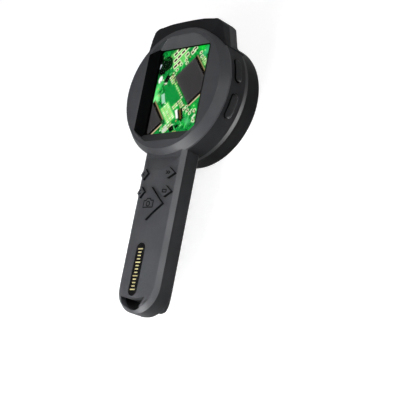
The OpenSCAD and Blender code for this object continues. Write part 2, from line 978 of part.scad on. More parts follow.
module main_board() {
  color("green")
    difference() {
      union() {
        translate([0, 0, board_z])
          cylinder(r = board_r, h = board_t);
        translate([-tab_half, 0, board_z])
          cube([2 * tab_half, tab_y, board_t]);
      }
      for (a = boss_angles)
        rotate([0, 0, a])
          translate([boss_at_r, 0, 0])
            cylinder(r = 1, h = 40);
      translate([switch_body_r - 0.4, -30, 0])
        cube([20, 60, 60]);
    }
}

module board_chips() {
  color("black") {
    translate([-chip_main / 2, -chip_main / 2, board_top_z])
      cube([chip_main, chip_main, chip_t]);
    translate([-board_r / 2 - chip_memory_w / 2, -chip_memory_l / 2, board_top_z])
      cube([chip_memory_w, chip_memory_l, chip_t]);
    for (a = [115, 40, -45])
      rotate([0, 0, a])
        translate([board_r / 2 - chip_small / 2, -chip_small / 2, board_top_z])
          cube([chip_small, chip_small, chip_t]);
  }
}

module image_sensor() {
  color("dimgray")
    translate([-sensor_w / 2, -sensor_w / 2, board_z - sensor_t])
      cube([sensor_w, sensor_w, sensor_t]);
}

module board_screws() {
  color("silver")
    for (a = boss_angles)
      rotate([0, 0, a])
        translate([boss_at_r, 0, 0]) {
          translate([0, 0, board_top_z])
            difference() {
              cylinder(r = screw_head_r, h = screw_head_h);
              translate([0, 0, screw_head_h / 2])
                cylinder(r = screw_head_r / 2, h = screw_head_h, $fn = 6);
            }
          translate([0, 0, floor_z + 0.8])
            cylinder(r = pilot_r - 0.02, h = board_top_z - floor_z - 0.8 + eps);
        }
}

module side_switches() {
  color("silver")
    for (a = [side_upper_a, -side_lower_a])
      rotate([0, 0, a]) {
        translate([switch_body_r - switch_depth - 1.6, -switch_w / 2, board_top_z])
          cube([switch_depth, switch_w, switch_h]);
        translate([switch_body_r - 1.6 - eps, 0, side_z])
          rotate([0, 90, 0])
            cylinder(r = 0.9, h = switch_tip_r - switch_body_r + 1.6);
      }
}

module usb_socket() {
  color("silver")
    translate([usb_x, crown_inner_y + 0.8, usb_z])
      rotate([90, 0, 0]) {
        difference() {
          linear_extrude(usb_depth)
            pill_plan(usb_w, usb_h);
          translate([0, 0, -1])
            linear_extrude(usb_depth)
              pill_plan(usb_w - 0.6, usb_h - 0.6);
        }
        translate([-3.3, -0.35, 0.6])
          cube([6.6, 0.7, usb_depth - 0.7]);
      }
}

module card_socket() {
  color("silver")
    difference() {
      translate([card_x - card_w / 2, crown_inner_y - 0.3 - card_depth, board_top_z])
        cube([card_w, card_depth, card_h]);
      translate([card_x - card_slot_w / 2, crown_inner_y - card_depth, card_z - card_slot_h / 2])
        cube([card_slot_w, card_depth + 2, card_slot_h]);
    }
}

// Keypad inside the handle

module keypad_plate(z, t) {
  translate([-keyboard_half, -keyboard_end_y, z])
    cube([2 * keyboard_half, keyboard_end_y - keyboard_top_y, t]);
}

module at_keys() {
  for (s = [-1, 1], y = [key_upper_y, key_lower_y])
    translate([s * key_x, -y, 0])
      children();
  translate([0, -shutter_y, 0])
    children();
}

module keypad_sheet() {
  color("darkslategray") {
    keypad_plate(sheet_lo_z, sheet_z - sheet_lo_z);
    at_keys()
      translate([0, 0, sheet_z - eps])
        cylinder(r = 1.3, h = nub_z - sheet_z + eps);
  }
}

module key_switches() {
  color("silver")
    at_keys()
      translate([0, 0, switch_lo_z])
        cylinder(r = 2, h = sheet_lo_z - switch_lo_z);
}

module keypad_board() {
  color("green")
    keypad_plate(keyboard_z, board_t);
}

module keypad_ribbon() {
  t = ribbon_t;
  y0 = keyboard_top_y + 1.5;
  y1 = board_r - 3;
  color("orange")
    along_x(ribbon_w)
      polygon([
        [-y0, keyboard_z], [-y0, keyboard_z - t], [-keyboard_top_y + 1, keyboard_z - t],
        [-y1 - 1, board_top_z], [-y1, board_top_z], [-y1, board_top_z + t],
        [-y1 - 0.8, board_top_z + t], [-keyboard_top_y + 1.2, keyboard_z]
      ]);
}

// Battery and speaker

module battery() {
  color("silver")
    translate([-battery_w / 2, -battery_top_y - battery_l, battery_z])
      cube([battery_w, battery_l, battery_t]);
}

module battery_pad() {
  color("black")
    translate([-battery_w / 2 + 1, -battery_top_y - battery_l + 1, pad_z])
      cube([battery_w - 2, battery_l - 2, pad_t]);
}

module speaker() {
  color("black") {
    translate([0, -vent_y, speaker_z])
      cylinder(r = speaker_r, h = speaker_t);
    translate([0, -vent_y, speaker_z + speaker_t - eps])
      cylinder(r = speaker_r * 0.6, h = 0.8);
  }
}

// Lamps and lens

module at_windows(angles) {
  for (a = angles)
    rotate([0, 0, a])
      translate([window_r, 0, 0])
        children();
}

module lamp_plate() {
  color("dimgray")
    difference() {
      translate([0, 0, collar_z])
        cylinder(r = plate_r, h = plate_t);
      translate([0, 0, collar_z - 1])
        cylinder(r = dish_r + press_gap, h = plate_t + 2);
      at_windows(window_angles)
        translate([-window_w / 2, -window_l / 2, 0])
          cube([window_w, window_l, 40]);
    }
}

module lamp_windows() {
  color("white")
    at_windows(window_angles)
      translate([-window_w / 2 + press_gap, -window_l / 2 + press_gap, plate_top_z - window_t])
        cube([window_w - 2 * press_gap, window_l - 2 * press_gap, window_t]);
}

module lamp() {
  translate([-1.4, -1.75, lamp_lo_z])
    cube([2.8, 3.5, lamp_t]);
}

module white_lamps() {
  color("yellow")
    at_windows([162, 234, 306, 18])
      lamp();
}

module uv_lamp() {
  color("violet")
    at_windows([90])
      lamp();
}

module lamp_board() {
  color("white")
    difference() {
      translate([0, 0, lamp_board_z])
        cylinder(r = collar_in_r - 0.1, h = board_t);
      cylinder(r = dish_r + 0.4, h = 60);
    }
}

module lens_dish() {
  run = dish_r - dish_floor_r;
  color("black")
    rotate_extrude()
      polygon([
        [dish_r, collar_z], [dish_r, collar_z + dish_t], [dish_floor_r + 1, dish_z + dish_t],
        [lens_r, dish_z + dish_t], [lens_r, dish_z], [dish_floor_r, dish_z],
        [dish_r - 0.5, collar_z]
      ]);
}

module lens_barrel() {
  z = dish_z + dish_t;
  color("black")
    difference() {
      translate([0, 0, z])
        cylinder(r = barrel_r, h = board_z - z);
      translate([0, 0, z - 1])
        cylinder(r = lens_r + press_gap, h = 3);
      cylinder(r = lens_r - 0.6, h = 40);
      translate([-sensor_w / 2 - 0.1, -sensor_w / 2 - 0.1, board_z - sensor_t - 0.1])
        cube([sensor_w + 0.2, sensor_w + 0.2, 2]);
    }
}

module objective_lens() {
  bulge_r = 5;
  z = dish_z + dish_t;
  drop = bulge_r - sqrt(bulge_r * bulge_r - lens_r * lens_r);
  color("lightcyan")
    intersection() {
      translate([0, 0, z - drop])
        cylinder(r = lens_r - 0.02, h = drop + 1.9);
      translate([0, 0, z - drop + bulge_r])
        sphere(bulge_r);
    }
}

rear_case();
front_cover();
light_hood();
label_plate();
key_upper_left();
key_upper_right();
key_lower_left();
key_lower_right();
shutter_key();
side_button_upper();
side_button_lower();
screen_window();
screen_gasket();
lcd_panel();
lcd_backing();
lcd_flex();
main_board();
board_chips();
image_sensor();
board_screws();
side_switches();
usb_socket();
card_socket();
keypad_sheet();
key_switches();
keypad_board();
keypad_ribbon();
battery();
battery_pad();
speaker();
lamp_plate();
lamp_windows();
white_lamps();
uv_lamp();
lamp_board();
lens_dish();
lens_barrel();
objective_lens();
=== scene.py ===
# %% [markdown]
# # A handheld digital microscope
# The CAD frame already holds every solid piece in its true place. This script only dresses it:
# finishes, softened edges, the lit picture behind the glass, the printed signs, the light and
# the camera. The frame is loaded first.

# %% Load the frame
import math

import bpy
import numpy as np
from mathutils import Euler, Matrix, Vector
from mathutils.bvhtree import BVHTree


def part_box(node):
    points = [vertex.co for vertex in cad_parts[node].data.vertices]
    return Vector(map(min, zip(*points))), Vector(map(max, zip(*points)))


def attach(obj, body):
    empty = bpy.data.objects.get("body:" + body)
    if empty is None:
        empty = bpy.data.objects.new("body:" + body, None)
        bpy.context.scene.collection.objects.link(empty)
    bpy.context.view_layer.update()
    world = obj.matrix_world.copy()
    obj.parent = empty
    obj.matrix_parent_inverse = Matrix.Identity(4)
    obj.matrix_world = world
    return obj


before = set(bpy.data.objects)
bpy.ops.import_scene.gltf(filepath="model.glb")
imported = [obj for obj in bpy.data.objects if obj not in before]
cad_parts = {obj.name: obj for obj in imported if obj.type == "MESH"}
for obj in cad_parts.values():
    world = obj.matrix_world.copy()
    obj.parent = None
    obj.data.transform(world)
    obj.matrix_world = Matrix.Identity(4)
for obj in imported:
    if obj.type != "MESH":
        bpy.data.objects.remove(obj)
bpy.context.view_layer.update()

MM = 0.001
scene = bpy.context.scene
print("nodes in the frame:", len(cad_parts))

# %% [markdown]
# ## Camera
# The front of the device is seen from its right, well above the handle. A camera can be placed
# by eye, but these numbers come from matching the outline in the picture: a long lens about
# half a metre away. No shift is needed.

# %% Camera
CAMERA_AT_MM = (392.0, -180.46, 378.04)
CAMERA_TURN_DEG = (23.614, 41.708, 14.170)
LENS_MM, SENSOR_MM, NEAR_MM = 108.27, 36, 10

lens = bpy.data.cameras.new("camera")
lens.lens = LENS_MM
lens.sensor_width = SENSOR_MM
lens.clip_start = NEAR_MM * MM
camera = bpy.data.objects.new("camera", lens)
camera.location = Vector(CAMERA_AT_MM) * MM
camera.rotation_euler = Euler([math.radians(a) for a in CAMERA_TURN_DEG], "XYZ")
scene.collection.objects.link(camera)
scene.camera = camera
print("camera distance to the head in mm:", round(Vector(CAMERA_AT_MM).length))

# %% [markdown]
# ## Small helpers
# Colours are easiest to read as the hex values of a paint chart, but shaders work in linear
# light, so one function converts them. Materials are node trees, so one function adds a node,
# sets its options and fills its inputs: with a value, with a socket, or with another node,
# whose first output is then linked. A Mix node has its colour sockets at fixed places, and
# those places get names here.

# %% Helpers for colours and nodes
MIX_A, MIX_B, MIX_OUT = 6, 7, 2


def linear(hex_colour):
    channels = [int(hex_colour[i:i + 2], 16) / 255 for i in (1, 3, 5)]
    return [c / 12.92 if c <= 0.04045 else ((c + 0.055) / 1.055) ** 2.4 for c in channels] + [1.0]


def add_node(tree, kind, inputs=None, **options):
    node = tree.nodes.new(kind)
    for option, value in options.items():
        setattr(node, option, value)
    for key, value in (inputs or {}).items():
        if isinstance(value, bpy.types.Node):
            value = value.outputs[0]
        if isinstance(value, bpy.types.NodeSocket):
            tree.links.new(value, node.inputs[key])
        else:
            node.inputs[key].default_value = value
    return node


def new_material(name):
    material = bpy.data.materials.new(name)
    material.use_nodes = True
    material.node_tree.nodes.clear()
    return material, material.node_tree


print("white is", linear("#FFFFFF"))

# %% [markdown]
# ## Studio
# A product like this is shot on a white sweep. A bright world alone would light it, but it
# would leave dark plastic flat, so the world gives little and soft boxes draw the shape:
# - a large box left of the handle, for all faces that look up
# - a low box past the handle's end, for the lower side of the ring
# - two small boxes with narrow grids, for the handle's front and for its side
# - a strip on the right, for the light line along the handle's chamfer
# - a box below and a box behind, so the lamps and the crown can be seen as well
#
# The floor is pale and keeps the shadow. It is clear when seen from below and for rays that
# look for a light, so the box below reaches the object. World and floor are lifted to white
# only for the camera, through glass and, by a small share, in reflections: dark cards round
# the camera would give the same.

# %% World
WORLD_LIGHT, WORLD_MIRROR = 0.15, 0.10

world = bpy.data.worlds.new("studio")
world.use_nodes = True
tree = world.node_tree
tree.nodes.clear()


def seen_directly(tree, mirror_share):
    """1 for rays from the camera or through glass, a share for reflections, 0 for other light."""
    ray = add_node(tree, "ShaderNodeLightPath").outputs
    mirrored = add_node(tree, "ShaderNodeMath", {0: ray["Is Glossy Ray"], 1: mirror_share},
                        operation="MULTIPLY")
    clear = add_node(tree, "ShaderNodeMath", {0: ray["Is Camera Ray"], 1: ray["Is Transmission Ray"]},
                     operation="MAXIMUM")
    return add_node(tree, "ShaderNodeMath", {0: clear, 1: mirrored}, operation="MAXIMUM")


seen = seen_directly(tree, WORLD_MIRROR)
level = add_node(tree, "ShaderNodeMix", {"Factor": seen, "A": WORLD_LIGHT, "B": 1.0})
sky = add_node(tree, "ShaderNodeBackground", {"Color": linear("#FFFFFF"), "Strength": level})
add_node(tree, "ShaderNodeOutputWorld", {"Surface": sky})
scene.world = world
print("world light:", WORLD_LIGHT, "share in reflections:", WORLD_MIRROR)

# %% Floor
FLOOR_LIFT, FLOOR_MIRROR, FLOOR_HALF = 0.77, 0.12, 3.0

paper, tree = new_material("white_paper_sweep")
pale = add_node(tree, "ShaderNodeBsdfDiffuse", {"Color": linear("#B8B8B8")})
seen = seen_directly(tree, FLOOR_MIRROR)
lift = add_node(tree, "ShaderNodeMath", {0: seen, 1: FLOOR_LIFT}, operation="MULTIPLY")
glow = add_node(tree, "ShaderNodeEmission", {"Color": linear("#FFFFFF"), "Strength": lift})
lifted = add_node(tree, "ShaderNodeAddShader", {0: pale, 1: glow})
from_below = add_node(tree, "ShaderNodeNewGeometry").outputs["Backfacing"]
to_a_light = add_node(tree, "ShaderNodeLightPath").outputs["Is Shadow Ray"]
let_through = add_node(tree, "ShaderNodeMath", {0: from_below, 1: to_a_light}, operation="MAXIMUM")
clear = add_node(tree, "ShaderNodeBsdfTransparent")
sweep = add_node(tree, "ShaderNodeMixShader", {0: let_through, 1: lifted, 2: clear})
add_node(tree, "ShaderNodeOutputMaterial", {"Surface": sweep})

sheet = bpy.data.meshes.new("floor")
corners = [(-FLOOR_HALF, -FLOOR_HALF, 0), (FLOOR_HALF, -FLOOR_HALF, 0),
           (FLOOR_HALF, FLOOR_HALF, 0), (-FLOOR_HALF, FLOOR_HALF, 0)]
sheet.from_pydata(corners, [], [(0, 1, 2, 3)])
sheet.materials.append(paper)
floor = bpy.data.objects.new("floor", sheet)
scene.collection.objects.link(floor)
print("floor width in metres:", 2 * FLOOR_HALF)

# %% Soft boxes
# For each box: its place, its aim, its width and height in metres, watts, spread in degrees
SOFT_BOXES = {
    "box_left": ((-0.62, -0.62, 0.70), (0, -0.02, 0.02), 0.60, 0.60, 1.8, 180),
    "box_low": ((-0.05, -0.42, 0.14), (0, -0.08, 0.02), 0.15, 0.15, 1.0, 180),
    "box_on_handle": ((-0.20, -0.60, 0.85), (0, -0.125, 0.02), 0.15, 0.15, 0.058, 10),
    "box_on_side": ((0.60, -0.09, 0.20), (0.015, -0.068, 0.012), 0.10, 0.10, 0.012, 14),
    "strip_right": ((0.62, 0.16, 0.68), (0, -0.05, 0.02), 0.10, 0.50, 2.85, 180),
    "box_below": ((0.0, 0.0, -0.60), (0, -0.02, 0.0), 0.20, 0.20, 3.0, 180),
    "box_behind": ((-0.45, 0.95, 0.30), (0, -0.02, 0.02), 0.50, 0.50, 1.1, 180),
}
for name, (place, aim, width, height, watts, spread) in SOFT_BOXES.items():
    light = bpy.data.lights.new(name, "AREA")
    light.shape = "RECTANGLE"
    light.size = width
    light.size_y = height
    light.energy = watts
    light.spread = math.radians(spread)
    lamp = bpy.data.objects.new(name, light)
    lamp.location = place
    lamp.rotation_euler = (Vector(aim) - Vector(place)).to_track_quat("-Z", "Y").to_euler()
    scene.collection.objects.link(lamp)
print("soft boxes:", len(SOFT_BOXES))

# %% [markdown]
# ## Moulded plastics
# The housing, hood, keys and lamp plate are ABS from moulds with a spark-eroded texture, which
# gives the eye a soft, slightly grainy sheen. One flat colour would look like paper, so noise
# changes it. The true grain is under 0.1 mm and would vanish here, so it is drawn 0.3 mm wide.
# Slow clouds of about a centimetre stand for flow and for handling, and change the tone and
# the gloss a little. Some pieces get painted shade in one zone, so the recipe takes an optional
# zone: a function that adds nodes and returns, for each point, how much painted shade it gets:
# black, matt and without reflections. A piece that keeps its CAD shading can have its edges
# rounded in the light alone, by a Bevel node.

# %% Moulded ABS
CLOUD_MM, TEXTURE_DEPTH_MM, ABS_IOR = 11, 0.05, 1.53
# The black of a zone is painted shade: matt and without reflections
PAINTED_SHADE_BLACK, PAINTED_SHADE_ROUGHNESS = "#0A0B0C", 0.85


def moulded_abs(name, dark, light, gloss, grain_mm=0.3, relief=0.10, specular=0.25,
                shade_zone=None, edge_mm=0.0):
    material, tree = new_material(name)
    place = add_node(tree, "ShaderNodeTexCoord").outputs["Object"]
    clouds = add_node(tree, "ShaderNodeTexNoise", {
        "Vector": place, "Scale": 1 / (CLOUD_MM * MM), "Detail": 3.0})
    grain = add_node(tree, "ShaderNodeTexNoise", {
        "Vector": place, "Scale": 1 / (grain_mm * MM), "Detail": 2.0})
    mixed = add_node(tree, "ShaderNodeMath", {0: clouds, 1: grain}, operation="MULTIPLY")
    tone = add_node(tree, "ShaderNodeMapRange", {"Value": mixed, "From Min": 0.12, "From Max": 0.40})
    colour = add_node(tree, "ShaderNodeMix", {
        "Factor": tone, MIX_A: linear(dark), MIX_B: linear(light)}, data_type="RGBA")
    rough = add_node(tree, "ShaderNodeMapRange", {
        "Value": clouds, "From Min": 0.3, "From Max": 0.7, "To Min": gloss + 0.05, "To Max": gloss - 0.05})
    finish = {}
    # A zone mixes in painted shade: black colour, matt roughness and no reflections
    if shade_zone:
        painted_shade = shade_zone(tree, place)
        colour = add_node(tree, "ShaderNodeMix", {
            "Factor": painted_shade, MIX_A: colour.outputs[MIX_OUT], MIX_B: linear(PAINTED_SHADE_BLACK)},
            data_type="RGBA")
        matt = add_node(tree, "ShaderNodeMath", {0: painted_shade, 1: PAINTED_SHADE_ROUGHNESS}, operation="MULTIPLY")
        rough = add_node(tree, "ShaderNodeMath", {0: rough, 1: matt}, operation="MAXIMUM")
        tint = add_node(tree, "ShaderNodeMix", {
            "Factor": painted_shade, MIX_A: linear("#FFFFFF"), MIX_B: linear("#000000")}, data_type="RGBA")
        finish["Specular Tint"] = tint.outputs[MIX_OUT]
    texture = {"Height": grain, "Strength": relief, "Distance": TEXTURE_DEPTH_MM * MM}
    if edge_mm:
        texture["Normal"] = add_node(tree, "ShaderNodeBevel", {"Radius": edge_mm * MM}, samples=4)
    bump = add_node(tree, "ShaderNodeBump", texture)
    shell = add_node(tree, "ShaderNodeBsdfPrincipled", {
        "Base Color": colour.outputs[MIX_OUT], "Roughness": rough, "IOR": ABS_IOR,
        "Specular IOR Level": specular, "Normal": bump, **finish})
    add_node(tree, "ShaderNodeOutputMaterial", {"Surface": shell})
    return material


print("recipe for moulded plastic ready")

# %% [markdown]
# ## Zones of painted shade
# The walls left and right of the screen are painted black, and the sill below it is painted
# darker: painted shade where the recess round the screen lies in shadow. The sides of the keys
# and of the side buttons are painted black under a thin top skin: painted shade on their side
# walls and in the gaps round them. A second material on chosen faces would need a changed mesh.
# The zones follow from the object's own coordinates instead: slanted planes for the walls and
# the sill, the distance from the handle's dome axis for the keys, and the distance from the
# head's axis for the buttons.

# %% A zone of painted shade for the walls and the sill of the screen
FUNNEL_Z_MM, FUNNEL_H_MM, RING_FACE_Z_MM, FUNNEL_R_MM = 22.2, 3.1, 25.25, 26.75
WALL_X_MM, WALL_SLOPE = 15.3, 4.0 / FUNNEL_H_MM
SCREEN_Y_MM, SILL_Y_MM, SILL_SLOPE, SILL_SHADE_SHARE = 0.6, 20.4, 4.6 / FUNNEL_H_MM, 0.65


def axis_distance(tree, x, y):
    """How far each point lies from an axis, from its two offsets."""
    flat = add_node(tree, "ShaderNodeCombineXYZ", {"X": x, "Y": y})
    return add_node(tree, "ShaderNodeVectorMath", {0: flat}, operation="LENGTH").outputs["Value"]


# Painted shade: black on the walls beside the screen, and a share of it on the sill below
def screen_walls_and_sill_painted_shade(tree, place):
    at = add_node(tree, "ShaderNodeSeparateXYZ", {0: place}).outputs
    rise = add_node(tree, "ShaderNodeMath", {0: at["Z"], 1: FUNNEL_Z_MM * MM}, operation="SUBTRACT")
    slant = add_node(tree, "ShaderNodeMath", {0: rise, 1: WALL_SLOPE}, operation="MULTIPLY")
    side = add_node(tree, "ShaderNodeMath", {0: at["X"]}, operation="ABSOLUTE")
    out = add_node(tree, "ShaderNodeMath", {0: side, 1: slant}, operation="SUBTRACT")
    beside = add_node(tree, "ShaderNodeMath", {0: out, 1: WALL_X_MM * MM}, operation="GREATER_THAN")
    fall = add_node(tree, "ShaderNodeMath", {0: SCREEN_Y_MM * MM, 1: at["Y"]}, operation="SUBTRACT")
    lean = add_node(tree, "ShaderNodeMath", {0: rise, 1: SILL_SLOPE}, operation="MULTIPLY")
    down = add_node(tree, "ShaderNodeMath", {0: fall, 1: lean}, operation="SUBTRACT")
    under = add_node(tree, "ShaderNodeMath", {0: down, 1: SILL_Y_MM * MM}, operation="GREATER_THAN")
    sill = add_node(tree, "ShaderNodeMath", {0: under, 1: SILL_SHADE_SHARE}, operation="MULTIPLY")
    either = add_node(tree, "ShaderNodeMath", {0: beside, 1: sill}, operation="MAXIMUM")
    radius = axis_distance(tree, at["X"], at["Y"])
    inside = add_node(tree, "ShaderNodeMath", {0: radius, 1: FUNNEL_R_MM * MM}, operation="LESS_THAN")
    below = add_node(tree, "ShaderNodeMath", {0: at["Z"], 1: RING_FACE_Z_MM * MM}, operation="LESS_THAN")
    both = add_node(tree, "ShaderNodeMath", {0: either, 1: inside}, operation="MULTIPLY")
    return add_node(tree, "ShaderNodeMath", {0: both, 1: below}, operation="MULTIPLY")


print("walls lean out by", round(math.degrees(math.atan(WALL_SLOPE))), "degrees")

# %% Zones of painted shade for the sides of the keys and the buttons
# Where the painted shade on the key sides and the button sides begins
KEY_DOME_R_MM, KEY_SKIN_MM, BUTTON_SHADE_BELOW_R_MM = 28.905, 0.07, 31.5
dome_axis_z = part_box("shutter_key")[1].z - KEY_DOME_R_MM * MM


# Painted shade on the key sides: black below a thin skin under the domed top
def key_sides_painted_shade(tree, place):
    at = add_node(tree, "ShaderNodeSeparateXYZ", {0: place}).outputs
    up = add_node(tree, "ShaderNodeMath", {0: at["Z"], 1: dome_axis_z}, operation="SUBTRACT")
    radius = axis_distance(tree, at["X"], up)
    shade_below_r = (KEY_DOME_R_MM - KEY_SKIN_MM) * MM
    return add_node(tree, "ShaderNodeMath", {0: radius, 1: shade_below_r}, operation="LESS_THAN")


# Painted shade on the button sides: black below a radius just under the button face
def button_sides_painted_shade(tree, place):
    at = add_node(tree, "ShaderNodeSeparateXYZ", {0: place}).outputs
    radius = axis_distance(tree, at["X"], at["Y"])
    return add_node(tree, "ShaderNodeMath", {0: radius, 1: BUTTON_SHADE_BELOW_R_MM * MM}, operation="LESS_THAN")


print("dome axis height in mm:", round(dome_axis_z / MM, 2))

# %% The moulded plastics
# Charcoal with a soft sheen for the front, near black behind it, satin where fingers press,
# darker satin for the hood and a matt plate that throws no light back at the sample
# The front cover, keys and side buttons carry painted shade in their zones
charcoal_abs = moulded_abs("abs_charcoal_textured", "#3C3D41", "#46474B", 0.48, specular=0.5,
                           shade_zone=screen_walls_and_sill_painted_shade)
black_abs = moulded_abs("abs_black_textured", "#191A1C", "#212225", 0.46, specular=0.2, edge_mm=0.25)
hood_abs = moulded_abs("abs_black_satin", "#090A0B", "#101113", 0.40, relief=0.06, specular=0.2)
key_abs = moulded_abs("abs_charcoal_satin_keys", "#3A3B3F", "#444549", 0.45, relief=0.06,
                      specular=0.5, shade_zone=key_sides_painted_shade)
button_abs = moulded_abs("abs_black_satin_buttons", "#1C1D1F", "#242527", 0.42, relief=0.06,
                         specular=0.2, shade_zone=button_sides_painted_shade)
plate_abs = moulded_abs("abs_lamp_plate_matt", "#1E1E20", "#28282B", 0.50)
print("moulded plastics made")

# %% [markdown]
# ## Glass, label and lamps
# The cover glass and the lens are clear and polished. The cover glass has a coating that takes
# most of its reflection away, so the picture keeps its depth. Layers of coating can't be drawn,
# so an IOR close to that of air stands for them. The label is glossy black acrylic. The lamp
# windows are frosted polycarbonate, so a lamp behind one shows as a soft glow: four are warm
# white and one is violet.

# %% Clear and lit finishes
SMEAR_MM, PHOSPHOR_GRAIN_MM = 9, 0.6


def polished_glass(name, tint, roughness, ior):
    material, tree = new_material(name)
    place = add_node(tree, "ShaderNodeTexCoord").outputs["Object"]
    smears = add_node(tree, "ShaderNodeTexNoise", {
        "Vector": place, "Scale": 1 / (SMEAR_MM * MM), "Detail": 2.0})
    rough = add_node(tree, "ShaderNodeMapRange", {
        "Value": smears, "From Min": 0.35, "From Max": 0.75,
        "To Min": roughness, "To Max": roughness + 0.02})
    body = add_node(tree, "ShaderNodeBsdfPrincipled", {
        "Base Color": linear(tint), "Roughness": rough, "IOR": ior, "Transmission Weight": 1.0})
    add_node(tree, "ShaderNodeOutputMaterial", {"Surface": body})
    return material


def glowing_lamp(name, body_colour, light_colour, strength):
    material, tree = new_material(name)
    place = add_node(tree, "ShaderNodeTexCoord").outputs["Object"]
    grain = add_node(tree, "ShaderNodeTexNoise", {
        "Vector": place, "Scale": 1 / (PHOSPHOR_GRAIN_MM * MM), "Detail": 1.0})
    shade = add_node(tree, "ShaderNodeMapRange", {
        "Value": grain, "To Min": 0.75 * strength, "To Max": 1.25 * strength})
    body = add_node(tree, "ShaderNodeBsdfPrincipled", {
        "Base Color": linear(body_colour), "Roughness": 0.4, "Emission Color": linear(light_colour),
        "Emission Strength": shade})
    add_node(tree, "ShaderNodeOutputMaterial", {"Surface": body})
    return material


cover_glass = polished_glass("cover_glass_coated", "#FFFFFF", 0.0, 1.06)
lens_glass = polished_glass("optical_glass_coated", "#C9D6E8", 0.0, 1.6)
frosted_window = polished_glass("polycarbonate_frosted", "#E8E4DA", 0.28, 1.58)
white_led = glowing_lamp("led_phosphor_warm_white", "#E9DFA8", "#FFF0C4", 0.35)
violet_led = glowing_lamp("led_violet", "#C88AE0", "#D63CF0", 4.5)
label_acrylic = moulded_abs("acrylic_black_gloss", "#0A0A0B", "#101113", 0.16, relief=0.02)
print("clear and lit finishes made")

# %% [markdown]
# ## Metals and inner parts
# Most of the inside is out of sight, but the sockets and the lamp board can be seen through
# their openings, and a part of a library may be opened up. One grey for all would do for the
# picture, but not for that. Plated steel mirrors softly and keeps the default IOR. Gold ink is
# bronze powder in varnish, so only part of it acts as metal. Boards have a glossy green mask,
# film is amber with a gloss, rubber and foam are matt.

# %% Metals, boards and rubbers
ROLLED_MM = 1.2


def plain_metal(name, colour, roughness, metallic=1.0):
    material, tree = new_material(name)
    place = add_node(tree, "ShaderNodeTexCoord").outputs["Object"]
    rolled = add_node(tree, "ShaderNodeTexNoise", {
        "Vector": place, "Scale": 1 / (ROLLED_MM * MM), "Detail": 3.0})
    rough = add_node(tree, "ShaderNodeMapRange", {
        "Value": rolled, "To Min": roughness - 0.08, "To Max": roughness + 0.08})
    body = add_node(tree, "ShaderNodeBsdfPrincipled", {
        "Base Color": linear(colour), "Metallic": metallic, "Roughness": rough})
    add_node(tree, "ShaderNodeOutputMaterial", {"Surface": body})
    return material


steel = plain_metal("steel_nickel_plated", "#C6C8CA", 0.28)
gold_ink = plain_metal("gold_bronze_ink", "#EBDD9C", 0.45, metallic=0.25)
solder_mask = moulded_abs("fr4_green_solder_mask", "#0B4A22", "#13602E", 0.30, grain_mm=0.6)
chip_epoxy = moulded_abs("epoxy_chip_black", "#17181A", "#222326", 0.55)
polyimide = moulded_abs("polyimide_amber_film", "#9A5A17", "#B87324", 0.30, relief=0.02)
silicone = moulded_abs("silicone_keypad_grey", "#5A5C60", "#66686C", 0.55)
foam_rubber = moulded_abs("foam_rubber_black", "#0B0B0C", "#141415", 0.85, grain_mm=0.5)
cell_wrap = moulded_abs("battery_wrap_silver", "#9A9DA1", "#ADB0B4", 0.32, relief=0.04)
panel_black = moulded_abs("lcd_cell_dark", "#08090A", "#0D0E10", 0.20, relief=0.02)
print("metals and inner finishes made")

# %% [markdown]
# ## Which piece gets which finish
# The two mouldings differ: the front cover is charcoal, the case behind it and the crown are
# black. A CAD node keeps its mesh, and only its material slot is filled. One table is easier
# to read than a line for each of the nodes.

# %% Give each node its finish
KEYS = ("key_upper_left", "key_upper_right", "key_lower_left", "key_lower_right", "shutter_key")
SIDE_BUTTONS = ("side_button_upper", "side_button_lower")
FINISHES = {
    charcoal_abs: ("front_cover",),
    black_abs: ("rear_case", "lens_barrel"),
    hood_abs: ("light_hood", "lens_dish"),
    key_abs: KEYS,
    button_abs: SIDE_BUTTONS,
    plate_abs: ("lamp_plate",),
    label_acrylic: ("label_plate",),
    cover_glass: ("screen_window",),
    lens_glass: ("objective_lens",),
    frosted_window: ("lamp_windows",),
    white_led: ("white_lamps",),
    violet_led: ("uv_lamp",),
    steel: ("lcd_backing", "board_screws", "usb_socket", "card_socket", "side_switches", "key_switches"),
    solder_mask: ("main_board", "keypad_board", "lamp_board"),
    chip_epoxy: ("board_chips", "image_sensor", "speaker"),
    polyimide: ("lcd_flex", "keypad_ribbon"),
    silicone: ("keypad_sheet",),
    foam_rubber: ("screen_gasket", "battery_pad"),
    cell_wrap: ("battery",),
    panel_black: ("lcd_panel",),
}
for material, names in FINISHES.items():
    for name in names:
        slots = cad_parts[name].data.materials
        slots.clear()
        slots.append(material)
print("nodes with a finish:", sum(len(names) for names in FINISHES.values()))

# %% [markdown]
# ## Softened edges
# No moulded edge is truly sharp, and the thin light lines along edges are what makes plastic
# look like plastic. The CAD mesh is loose triangles, so a Weld joins them first, then a Bevel
# rounds each edge that turns by more than its limit, and weighted normals keep flats flat.
# Where a mesh has slim triangles, the Bevel is clamped, or it would shoot past them. The rear
# case has none of this: its long dome looks smoothest with the normals that come from CAD.

